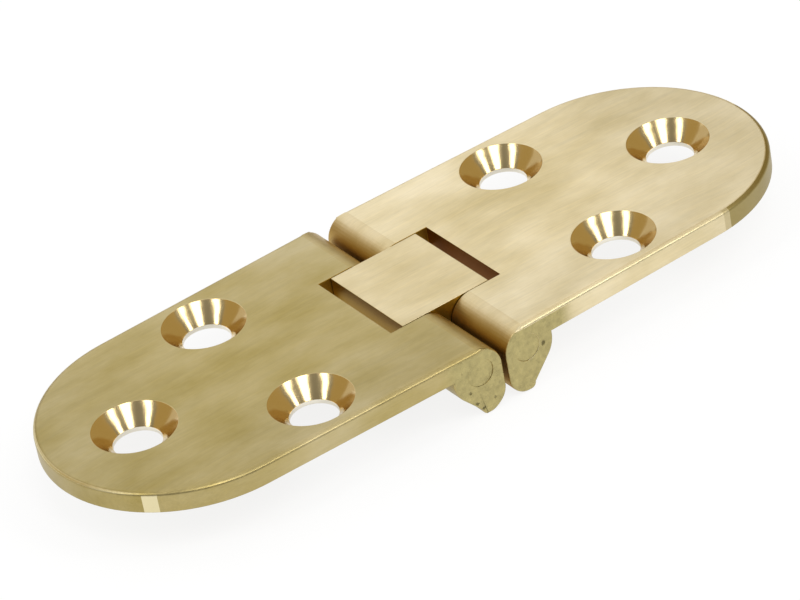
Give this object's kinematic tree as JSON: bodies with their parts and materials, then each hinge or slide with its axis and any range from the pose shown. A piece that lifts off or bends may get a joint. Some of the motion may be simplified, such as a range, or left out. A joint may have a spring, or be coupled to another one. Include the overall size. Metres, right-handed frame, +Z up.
{
  "type": "flap hinge",
  "caption": "Flush table flap hinge in solid brass: two round-ended leaves joined by a bridge link on two riveted pins, folding face to face.",
  "frame": {"origin": "middle of the open hinge, at the height of the feet of the stop toes, the lowest points", "axes": "+X along the open hinge towards the right leaf's tip, +Y along the pins, +Z up out of the leaves' faces"},
  "size_m": [0.08, 0.0292, 0.0071],
  "materials": {
    "leaf_brass_left": "satin, brushed along the length",
    "leaf_brass_right": "satin, brushed along the length",
    "link_brass": "satin, brushed",
    "pin_brass_left": "filed flush",
    "pin_brass_right": "filed flush"
  },
  "bodies": {
    "left_leaf": {"leaf_left": "leaf_brass_left", "pin_left": "pin_brass_left"},
    "bridge": {"link": "link_brass"},
    "right_leaf": {"leaf_right": "leaf_brass_right", "pin_right": "pin_brass_right"}
  },
  "joints": [
    {"name": "left_pivot", "type": "hinge", "parent": "left_leaf", "child": "bridge", "pos_m": [-0.0027, 0, 0.00465], "axis": [0, -1, 0], "range_deg": [0, 90]},
    {"name": "right_pivot", "type": "hinge", "parent": "bridge", "child": "right_leaf", "pos_m": [0.0027, 0, 0.00465], "axis": [0, -1, 0], "range_deg": [0, 90]}
  ]
}
